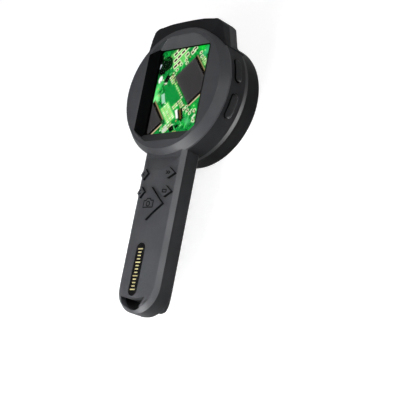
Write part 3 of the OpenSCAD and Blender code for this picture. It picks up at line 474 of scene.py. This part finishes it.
# %% Round the edges
EDGE_MM = {"front_cover": 0.22, "light_hood": 0.18, "lamp_plate": 0.10, "lens_dish": 0.10,
           **dict.fromkeys(KEYS, 0.14), **dict.fromkeys(SIDE_BUTTONS, 0.40)}
CLAMPED = ("front_cover",) + KEYS
WELD_MM, EDGE_STEPS, EDGE_FROM_DEG = 0.002, 2, 28
for name, width in EDGE_MM.items():
    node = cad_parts[name]
    weld = node.modifiers.new("weld", "WELD")
    weld.merge_threshold = WELD_MM * MM
    bevel = node.modifiers.new("edge", "BEVEL")
    bevel.width = width * MM
    bevel.segments = EDGE_STEPS
    bevel.limit_method = "ANGLE"
    bevel.angle_limit = math.radians(EDGE_FROM_DEG)
    bevel.use_clamp_overlap = name in CLAMPED
    bevel.miter_outer = "MITER_ARC"
    normals = node.modifiers.new("normals", "WEIGHTED_NORMAL")
    normals.keep_sharp = True
print("pieces with rounded edges:", len(EDGE_MM))

# %% [markdown]
# ## The picture on the screen
# A microscope of this kind is shown looking at a circuit board: green mask, pale pads, dark
# chips lying askew. It could be built from hundreds of tiny shapes, but a screen is flat, so a
# fine grid carries one colour per point and the picture is painted on it with a few masks:
# boxes, discs and rows of pads. Distances are millimetres from the middle of the screen.

# %% A canvas as fine as the screen needs
SCREEN_W_MM, SCREEN_H_MM, CELL_MM, SEED = 30.6, 40.8, 0.2, 12
columns = round(SCREEN_W_MM / CELL_MM) + 1
rows = round(SCREEN_H_MM / CELL_MM) + 1
across, up = np.meshgrid(np.linspace(-SCREEN_W_MM / 2, SCREEN_W_MM / 2, columns),
                         np.linspace(-SCREEN_H_MM / 2, SCREEN_H_MM / 2, rows))
canvas = np.zeros((rows, columns, 3))
draws = np.random.default_rng(SEED)


def turned(x, y, degrees):
    c, s = math.cos(math.radians(degrees)), math.sin(math.radians(degrees))
    return (across - x) * c + (up - y) * s, (up - y) * c - (across - x) * s


def box_mask(x, y, half_w, half_h, degrees=0.0, soft=0.25):
    u, v = turned(x, y, degrees)
    return np.clip(0.5 - np.maximum(abs(u) - half_w, abs(v) - half_h) / soft, 0, 1)


def disc_mask(x, y, radius_u, radius_v, degrees=0.0, soft=0.25):
    u, v = turned(x, y, degrees)
    return np.clip(0.5 + (1 - np.hypot(u / radius_u, v / radius_v)) * min(radius_u, radius_v) / soft, 0, 1)


def paint(mask, hex_colour):
    canvas[:] += mask[..., None] * (np.array(linear(hex_colour)[:3]) - canvas)


print("canvas points:", rows * columns)

# %% Solder mask, copper and light
BOARD_TURN = 39.0
TURN_C, TURN_S = math.cos(math.radians(BOARD_TURN)), math.sin(math.radians(BOARD_TURN))
TRACES, TRACE_HALF_W, WAVES = 150, 0.2, 7
PATCH_AT = (-4.5, -1.9)
# For each glow: its middle, its two radii and its colour
GLOWS = (
    (-13.9, -3.0, 2.1, 2.6, "#8CFF9A"), (-14.4, 1.4, 1.2, 4.0, "#62F07C"),
    (9.8, 19.9, 2.6, 1.8, "#12D23C"), (12.6, 17.0, 1.2, 2.4, "#3DBE78"),
    (9.0, -15.4, 1.6, 1.0, "#4FBE74"), (11.6, -8.6, 1.6, 1.2, "#19C845"),
)


def on_board(x, y, u, v):
    """A place u along and v across the board's own turned axes, from the point x, y."""
    return x + u * TURN_C - v * TURN_S, y + u * TURN_S + v * TURN_C


def anywhere():
    return draws.uniform(-15, 15), draws.uniform(-20, 20)


def drifting(size_mm):
    waves = np.zeros_like(across)
    for _ in range(WAVES):
        angle, phase = draws.uniform(0, math.tau, 2)
        waves += np.sin((across * math.cos(angle) + up * math.sin(angle)) * math.tau / size_mm + phase)
    return np.clip(0.5 + waves / WAVES, 0, 1)


paint(np.ones_like(across), "#0B8234")
paint(drifting(8.0) * 0.8, "#12A845")
paint(drifting(3.0) ** 2 * 0.7, "#065A24")
for _ in range(TRACES):
    x, y = anywhere()
    length, step = draws.uniform(0.8, 3.4), draws.choice([0, 45, 90])
    colour = draws.choice(["#5FE07A", "#03330F", "#0FC03C"])
    paint(box_mask(x, y, length, TRACE_HALF_W, BOARD_TURN + step) * 0.8, colour)
paint(box_mask(*PATCH_AT, 3.4, 4.2, BOARD_TURN, 1.6), "#0E8C3A")
for x, y, wide, tall, colour in GLOWS:
    paint(disc_mask(x, y, wide, tall, -30, 2.0) * 0.9, colour)
print("traces:", TRACES, "glows:", len(GLOWS))

# %% Slotted pads and round pads
SLOT_PADS = (
    (-6.4, 18.2), (-4.6, 20.0), (-5.8, 15.1), (-3.9, 16.7), (-1.8, 18.7), (-0.1, 20.3),
    (-3.4, 13.6), (0.9, 17.0), (4.6, 18.0), (5.5, 19.4), (-5.2, 12.2),
)
ROUND_PADS = (
    (0.9, 14.5), (9.7, 17.0), (-1.6, 12.6), (-3.6, 10.2), (1.9, 12.9), (8.0, -10.4),
    (9.8, -11.8), (12.4, -10.7), (7.0, -8.6), (12.6, -15.4), (5.6, -9.6), (10.6, 15.0),
)
for k in range(5):
    bar = on_board(-4.2, 16.4, 1.9 * k - 3.4, 0)
    paint(box_mask(*bar, 0.9, 4.4, BOARD_TURN, 1.2) * 0.8, "#6FDB68")
for x, y in SLOT_PADS:
    paint(box_mask(x, y, 1.3, 0.95, BOARD_TURN, 0.5), "#EEF7D2")
    paint(box_mask(x, y, 1.0, 0.55, BOARD_TURN), "#7A5A34")
    paint(box_mask(x, y, 0.85, 0.42, BOARD_TURN, 0.2), "#040402")
for x, y in ROUND_PADS:
    paint(disc_mask(x, y, 0.95, 0.75, BOARD_TURN, 0.4), "#DCEFC0")
    paint(disc_mask(x + 0.1, y, 0.48, 0.42, BOARD_TURN), draws.choice(["#5A3A1A", "#0A0704"]))
print("slotted and round pads:", len(SLOT_PADS), len(ROUND_PADS))

# %% Rows of small pads
# For each row: its middle, how many pads along and across, and their pitch
PAD_ROWS = (
    (-3.6, 6.4, 1, 5, 1.5), (-0.5, 0.4, 1, 8, 1.5), (-5.4, 5.6, 2, 4, 1.2), (-3.0, -17.2, 5, 3, 1.2),
    (2.9, -6.6, 2, 4, 1.2), (-0.4, -7.6, 3, 2, 1.1), (13.0, 12.6, 2, 4, 1.2),
)
for x, y, wide, tall, pitch in PAD_ROWS:
    for i in range(wide):
        for j in range(tall):
            pad = on_board(x, y, (i - (wide - 1) / 2) * pitch, (j - (tall - 1) / 2) * pitch)
            tin = draws.choice(["#D9EDB0", "#EEF4D2", "#BFE090"])
            paint(box_mask(*pad, 0.46, 0.36, BOARD_TURN, 0.3), tin)
            if draws.uniform() < 0.5:
                hole = draws.choice(["#7A5226", "#2A1A0C"])
                paint(box_mask(*pad, 0.2, 0.15, BOARD_TURN, 0.2) * 0.9, hole)
print("pad rows:", len(PAD_ROWS))

# %% A ladder of long pads, and loose specks
LADDER_AT, RUNGS, RUNG_PITCH, SPECKS = (-4.3, -10.6), 9, 1.1, 110
paint(box_mask(*LADDER_AT, 2.9, 5.2, BOARD_TURN, 0.8), "#58D968")
for column in (-1.6, 0.1, 1.7):
    for rung in range(RUNGS):
        pad = on_board(*LADDER_AT, column, (rung - (RUNGS - 1) / 2) * RUNG_PITCH)
        paint(box_mask(*pad, 0.62, 0.3, BOARD_TURN, 0.3), draws.choice(["#E4F0B4", "#C9DE92", "#F1F5D4"]))
for _ in range(SPECKS):
    x, y = anywhere()
    if abs(x - PATCH_AT[0]) + abs(y - PATCH_AT[1]) > 6:
        colour = draws.choice(["#F0F6DC", "#02180A", "#C79A6A", "#9AE88C"])
        paint(disc_mask(x, y, 0.4, 0.3, BOARD_TURN) * 0.9, colour)
print("rungs:", 3 * RUNGS, "specks:", SPECKS)

# %% Chips with their lit edges
def chip(x, y, half_u, half_v):
    """A flat dark chip: two of its sides show a black gap and a thin gold line."""
    shade = on_board(x, y, 0.9, -0.9)
    paint(box_mask(*shade, half_u + 1.3, half_v + 1.3, BOARD_TURN, 0.9) * 0.85, "#041A0A")
    for along, gold in ((True, "#8E8258"), (False, "#D2BF98")):
        for reach, colour in ((2.0, gold), (1.45, "#241F0C"), (1.05, "#010101")):
            grow_u, grow_v = (reach, 0.0) if along else (0.0, reach)
            place = on_board(x, y, grow_u / 2, -grow_v / 2)
            paint(box_mask(*place, half_u + grow_u / 2, half_v + grow_v / 2, BOARD_TURN, 0.2), colour)
    paint(box_mask(x, y, half_u, half_v, BOARD_TURN, 0.2), "#413F40")
    dark = on_board(x, y, 0.3, -0.4)
    paint(box_mask(*dark, half_u - 0.9, half_v - 0.9, BOARD_TURN, 2.5) * 0.8, "#333233")


CHIPS = ((6.8, 4.0, 6.5, 8.7), (-15.8, -13.1, 5.5, 6.0))
for sizes in CHIPS:
    chip(*sizes)
print("chips:", len(CHIPS))

# %% Small parts round the chips
# For each small part: its middle, its half sizes, its turn in degrees and its colour
SMALL_PARTS = (
    (-15.0, 13.0, 0.4, 1.1, -20, "#C9D6E0"), (-13.2, 9.9, 1.9, 1.1, 12, "#040504"),
    (-8.9, 6.4, 1.25, 1.8, -25, "#050403"), (-9.5, 4.1, 1.0, 0.4, 10, "#D8DEC8"),
    (-10.2, 3.7, 0.5, 0.35, 30, "#141210"), (-9.0, -3.1, 1.0, 2.4, 20, "#9CCFB4"),
    (1.8, -11.5, 0.8, 2.3, 24, "#F4F3EF"), (4.1, -11.9, 1.5, 2.8, 20, "#060503"),
    (4.0, -11.8, 0.45, 2.4, 20, "#5A4A1E"), (0.0, -18.3, 1.4, 1.3, 30, "#060706"),
    (5.2, -14.8, 0.6, 0.45, 30, "#120F0A"), (3.1, -17.4, 1.0, 0.7, 40, "#040604"),
    (-3.2, 4.8, 0.4, 0.4, 0, "#15110C"), (-5.8, 8.0, 0.5, 0.4, 20, "#5A3A1A"),
    (12.6, -13.6, 1.2, 0.5, 50, "#CFE3C4"), (-4.2, -18.4, 1.6, 0.9, 39, "#C7CFC0"),
)
paint(box_mask(-14.6, 14.4, 1.2, 4.4, 8, 0.8), "#020503")
for radius, colour in ((4.0, "#010302"), (3.2, "#062A0E"), (2.3, "#010502"), (1.2, "#04200A")):
    paint(disc_mask(-11.2, 13.9, radius, radius * 0.92, 30, 0.8), colour)
paint(disc_mask(-11.6, 16.2, 2.0, 0.5, -12, 0.6) * 0.8, "#0A5A1C")
for x, y, half_w, half_h, degrees, colour in SMALL_PARTS:
    paint(box_mask(x, y, half_w, half_h, degrees, 0.35), colour)
paint(disc_mask(-13.3, 6.5, 1.1, 1.8, -15, 0.3), "#F4F5F1")
paint(disc_mask(-12.9, 5.4, 0.35, 0.3, 0, 0.3), "#2A2620")
print("small parts:", len(SMALL_PARTS) + 2)

# %% Round the lit area's corners
CORNER_MM, CORNER_SOFT_MM = 2.2, 0.2
past_u = np.maximum(abs(across) - (SCREEN_W_MM / 2 - CORNER_MM), 0)
past_v = np.maximum(abs(up) - (SCREEN_H_MM / 2 - CORNER_MM), 0)
paint(np.clip((np.hypot(past_u, past_v) - CORNER_MM) / CORNER_SOFT_MM + 1, 0, 1), "#010101")
print("lit area corners rounded to", CORNER_MM, "mm")

# %% Hang the picture just behind the glass
PICTURE_BELOW_GLASS_MM, BACKLIGHT = 0.05, 1.1
glass_lo, glass_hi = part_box("screen_window")
screen_mid = (glass_lo + glass_hi) / 2
picture_z = glass_lo.z - PICTURE_BELOW_GLASS_MM * MM
points = np.column_stack([screen_mid.x + across.ravel() * MM, screen_mid.y + up.ravel() * MM,
                          np.full(across.size, picture_z)])
index = np.arange(rows * columns).reshape(rows, columns)
quads = np.column_stack([index[:-1, :-1].ravel(), index[:-1, 1:].ravel(),
                         index[1:, 1:].ravel(), index[1:, :-1].ravel()])
mesh = bpy.data.meshes.new("screen_picture")
mesh.from_pydata(points.tolist(), [], quads.tolist())
paints = mesh.color_attributes.new("picture", "FLOAT_COLOR", "POINT")
paints.data.foreach_set("color", np.column_stack([canvas.reshape(-1, 3), np.ones(across.size)]).ravel())

lit_screen, tree = new_material("lcd_backlit_picture")
picture = add_node(tree, "ShaderNodeVertexColor", layer_name="picture")
cell = add_node(tree, "ShaderNodeBsdfPrincipled", {
    "Base Color": linear("#050505"), "Roughness": 0.5, "Specular IOR Level": 0.0,
    "Emission Color": picture.outputs["Color"], "Emission Strength": BACKLIGHT})
add_node(tree, "ShaderNodeOutputMaterial", {"Surface": cell})
mesh.materials.append(lit_screen)
screen_picture = bpy.data.objects.new("screen_picture", mesh)
scene.collection.objects.link(screen_picture)
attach(screen_picture, "housing")
print("picture triangles:", 2 * len(quads))

# %% [markdown]
# ## Printed signs on the keys
# The signs are pad-printed in dark ink. Flat text would float off the curved key tops, so each
# sign is a few strokes. A stroke is cut into short steps, and every step is dropped onto the
# key below it. The ink is a thin closed strip that starts just under the key's skin.

# %% Strokes that lie on a key
INK_UP_MM, INK_DOWN_MM, STEP_MM, SAME_PLACE_MM, ABOVE_ALL_MM = 0.03, 0.03, 0.25, 0.01, 60
depsgraph = bpy.context.evaluated_depsgraph_get()


def skin_of(node):
    return BVHTree.FromObject(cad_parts[node], depsgraph)


def stroke_strip(skin, line, half_width, verts, faces):
    """Add one closed strip along a line of millimetre points, dropped onto the skin."""
    dense = [Vector(line[0])]
    for a, b in zip(line, line[1:]):
        a, b = Vector(a), Vector(b)
        steps = max(1, round((b - a).length / STEP_MM))
        dense += [a.lerp(b, k / steps) for k in range(1, steps + 1)]
    closed = (dense[0] - dense[-1]).length < SAME_PLACE_MM
    if closed:
        dense.pop()
    start, count = len(verts), len(dense)
    for k, p in enumerate(dense):
        before = dense[k - 1] if k or closed else p
        after = dense[(k + 1) % count] if k + 1 < count or closed else p
        along = (after - before).normalized()
        aside = Vector((-along.y, along.x)) * half_width
        for q in (p + aside, p - aside):
            hit = skin.ray_cast(Vector((q.x, q.y, ABOVE_ALL_MM)) * MM, Vector((0, 0, -1)))[0]
            verts += [(hit.x, hit.y, hit.z + INK_UP_MM * MM), (hit.x, hit.y, hit.z - INK_DOWN_MM * MM)]
    for k in range(count if closed else count - 1):
        a, b = start + 4 * k, start + 4 * ((k + 1) % count)
        faces += [(a, a + 2, b + 2, b), (a + 1, b + 1, b + 3, a + 3),
                  (a, b, b + 1, a + 1), (a + 2, a + 3, b + 3, b + 2)]
    if not closed:
        last = start + 4 * (count - 1)
        faces += [(start, start + 1, start + 3, start + 2), (last, last + 2, last + 3, last + 1)]


ink = moulded_abs("pad_print_ink_dark", "#060607", "#0B0B0C", 0.7, relief=0.02, specular=0.1)
print("ink steps every", STEP_MM, "mm")

# %% The five signs
def key_middle(node):
    low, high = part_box(node)
    return (low.x + high.x) / 2 / MM, (low.y + high.y) / 2 / MM


def circle_line(x, y, radius, first=0, last=360, steps=28):
    angles = [math.radians(first + (last - first) * k / steps) for k in range(steps + 1)]
    return [(x + radius * math.cos(a), y + radius * math.sin(a)) for a in angles]


CAMERA_BODY = [(-2.9, -1.9), (2.9, -1.9), (2.9, 1.2), (1.5, 1.2), (0.9, 2.1), (-0.9, 2.1),
               (-1.5, 1.2), (-2.9, 1.2), (-2.9, -1.9)]
SIGNS = {
    "shutter_key": ([CAMERA_BODY, circle_line(0, -0.3, 1.0)], 0.28),
    "key_upper_left": ([[(0.6, 0.8), (-0.6, 0), (0.6, -0.8)]], 0.26),
    "key_upper_right": ([[(-0.9, 0.7), (0, 0), (-0.9, -0.7)], [(0.1, 0.7), (1.0, 0), (0.1, -0.7)]], 0.26),
    "key_lower_left": ([circle_line(0, 0, 0.8, 60, 350)], 0.26),
    "key_lower_right": ([[(-0.9, -0.6), (0.9, -0.6), (0.9, 0.6), (-0.9, 0.6), (-0.9, -0.6)]], 0.26),
}
for node, (lines, half_width) in SIGNS.items():
    x, y = key_middle(node)
    skin, verts, faces = skin_of(node), [], []
    for line in lines:
        stroke_strip(skin, [(x + u, y + v) for u, v in line], half_width, verts, faces)
    mesh = bpy.data.meshes.new(node + "_sign")
    mesh.from_pydata(verts, [], faces)
    mesh.materials.append(ink)
    sign = bpy.data.objects.new(node + "_sign", mesh)
    scene.collection.objects.link(sign)
    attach(sign, node)
    print(sign.name, len(faces), "faces")

# %% [markdown]
# ## The gold scale on the label
# The black inlay carries a plain tick scale in gold ink. Thirteen blocks could be typed in one
# by one, but ticks repeat, so Geometry Nodes make them: a line of points, a small block on
# each, every fourth one longer. The result is turned into a plain mesh before it joins the
# model.

# %% Node tree for a tick scale
SCALE_INPUTS = {
    "Ticks": "NodeSocketInt", "Pitch": "NodeSocketFloat", "Length": "NodeSocketFloat",
    "Width": "NodeSocketFloat", "Height": "NodeSocketFloat", "Every": "NodeSocketInt",
    "Long": "NodeSocketFloat", "Start": "NodeSocketVector", "Finish": "NodeSocketMaterial",
}


def tick_scale_tree():
    tree = bpy.data.node_groups.new("tick_scale", "GeometryNodeTree")
    for name, kind in SCALE_INPUTS.items():
        tree.interface.new_socket(name, in_out="INPUT", socket_type=kind)
    tree.interface.new_socket("Geometry", in_out="OUTPUT", socket_type="NodeSocketGeometry")
    given = add_node(tree, "NodeGroupInput").outputs
    step = add_node(tree, "ShaderNodeCombineXYZ", {"Y": given["Pitch"]})
    line = add_node(tree, "GeometryNodeMeshLine", {
        "Count": given["Ticks"], "Start Location": given["Start"], "Offset": step})
    size = add_node(tree, "ShaderNodeCombineXYZ", {
        "X": given["Length"], "Y": given["Width"], "Z": given["Height"]})
    block = add_node(tree, "GeometryNodeMeshCube", {"Size": size})
    index = add_node(tree, "GeometryNodeInputIndex")
    turn = add_node(tree, "ShaderNodeMath", {0: index, 1: given["Every"]}, operation="MODULO")
    first = add_node(tree, "ShaderNodeMath", {0: turn, 1: 0.5}, operation="LESS_THAN")
    grow = add_node(tree, "ShaderNodeMix", {"Factor": first, "A": 1.0, "B": given["Long"]})
    scale = add_node(tree, "ShaderNodeCombineXYZ", {"X": grow, "Y": 1.0, "Z": 1.0})
    ticks = add_node(tree, "GeometryNodeInstanceOnPoints", {
        "Points": line, "Instance": block, "Scale": scale})
    real = add_node(tree, "GeometryNodeRealizeInstances", {"Geometry": ticks})
    done = add_node(tree, "GeometryNodeSetMaterial", {"Geometry": real, "Material": given["Finish"]})
    add_node(tree, "NodeGroupOutput", {"Geometry": done})
    return tree


print("inputs of the tick scale:", len(SCALE_INPUTS))

# %% Print the scale on the label
TICKS, EVERY, LONG = 13, 4, 1.5
PITCH_MM, TICK_L_MM, TICK_W_MM, TICK_H_MM, TICK_SUNK_MM = 1.5, 1.9, 0.5, 0.10, 0.03
label_lo, label_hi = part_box("label_plate")
first_y = (label_lo.y + label_hi.y) / 2 - (TICKS - 1) / 2 * PITCH_MM * MM
values = {
    "Ticks": TICKS, "Pitch": PITCH_MM * MM, "Length": TICK_L_MM * MM, "Width": TICK_W_MM * MM,
    "Height": TICK_H_MM * MM, "Every": EVERY, "Long": LONG,
    "Start": (0, first_y, label_hi.z - TICK_SUNK_MM * MM), "Finish": gold_ink,
}
draft = bpy.data.objects.new("label_scale_draft", bpy.data.meshes.new("label_scale_draft"))
scene.collection.objects.link(draft)
modifier = draft.modifiers.new("scale", "NODES")
modifier.node_group = tick_scale_tree()
for item in modifier.node_group.interface.items_tree:
    if item.in_out == "INPUT":
        modifier[item.identifier] = values[item.name]
depsgraph = bpy.context.evaluated_depsgraph_get()
mesh = bpy.data.meshes.new_from_object(draft.evaluated_get(depsgraph))
mesh.name = "label_scale"
bpy.data.objects.remove(draft)
label_scale = bpy.data.objects.new("label_scale", mesh)
scene.collection.objects.link(label_scale)
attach(label_scale, "housing")
print("label ticks:", TICKS, "faces:", len(mesh.polygons))

# %% [markdown]
# ## Colour view
# Blender's default view softens colours as film does. The Standard view shows a colour as it
# is written, which suits finishes that were matched to a picture.

# %% View
scene.view_settings.view_transform = "Standard"
